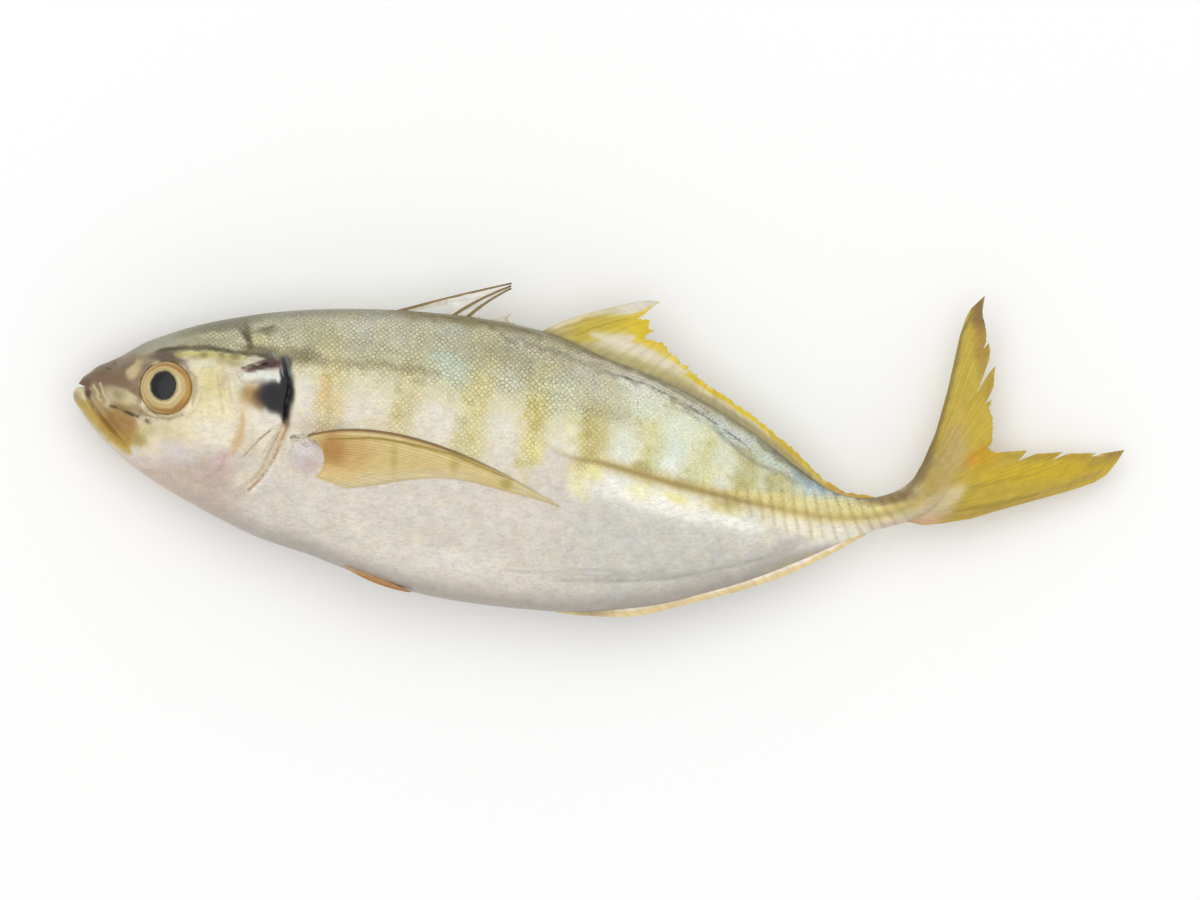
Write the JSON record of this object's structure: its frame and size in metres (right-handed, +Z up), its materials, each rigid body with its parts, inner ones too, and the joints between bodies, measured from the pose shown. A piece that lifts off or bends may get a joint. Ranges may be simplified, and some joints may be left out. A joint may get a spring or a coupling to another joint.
{
  "type": "whole raw fish",
  "caption": "Whole raw jack-like fish with a yellow forked tail, lying on its right side on a small flat spot, with its tail bent towards its back.",
  "frame": {"origin": "bottom centre of the bounding box, at the height of the surface that the fish lies on", "axes": "+X from the snout to the tail, +Y from the belly to the back, +Z up, out of the left flank"},
  "size_m": [0.2501, 0.0796, 0.0344],
  "materials": {
    "skin": "wet fish skin, satin, with fine scales, olive bars above and a silvery belly",
    "fin": "thin moist fin skin over fine rays, yellow to ochre, satin",
    "eye": "glossy eyeball with a dark pupil and a pale gold iris"
  },
  "bodies": {
    "root": {"fish": "skin"}
  },
  "joints": []
}
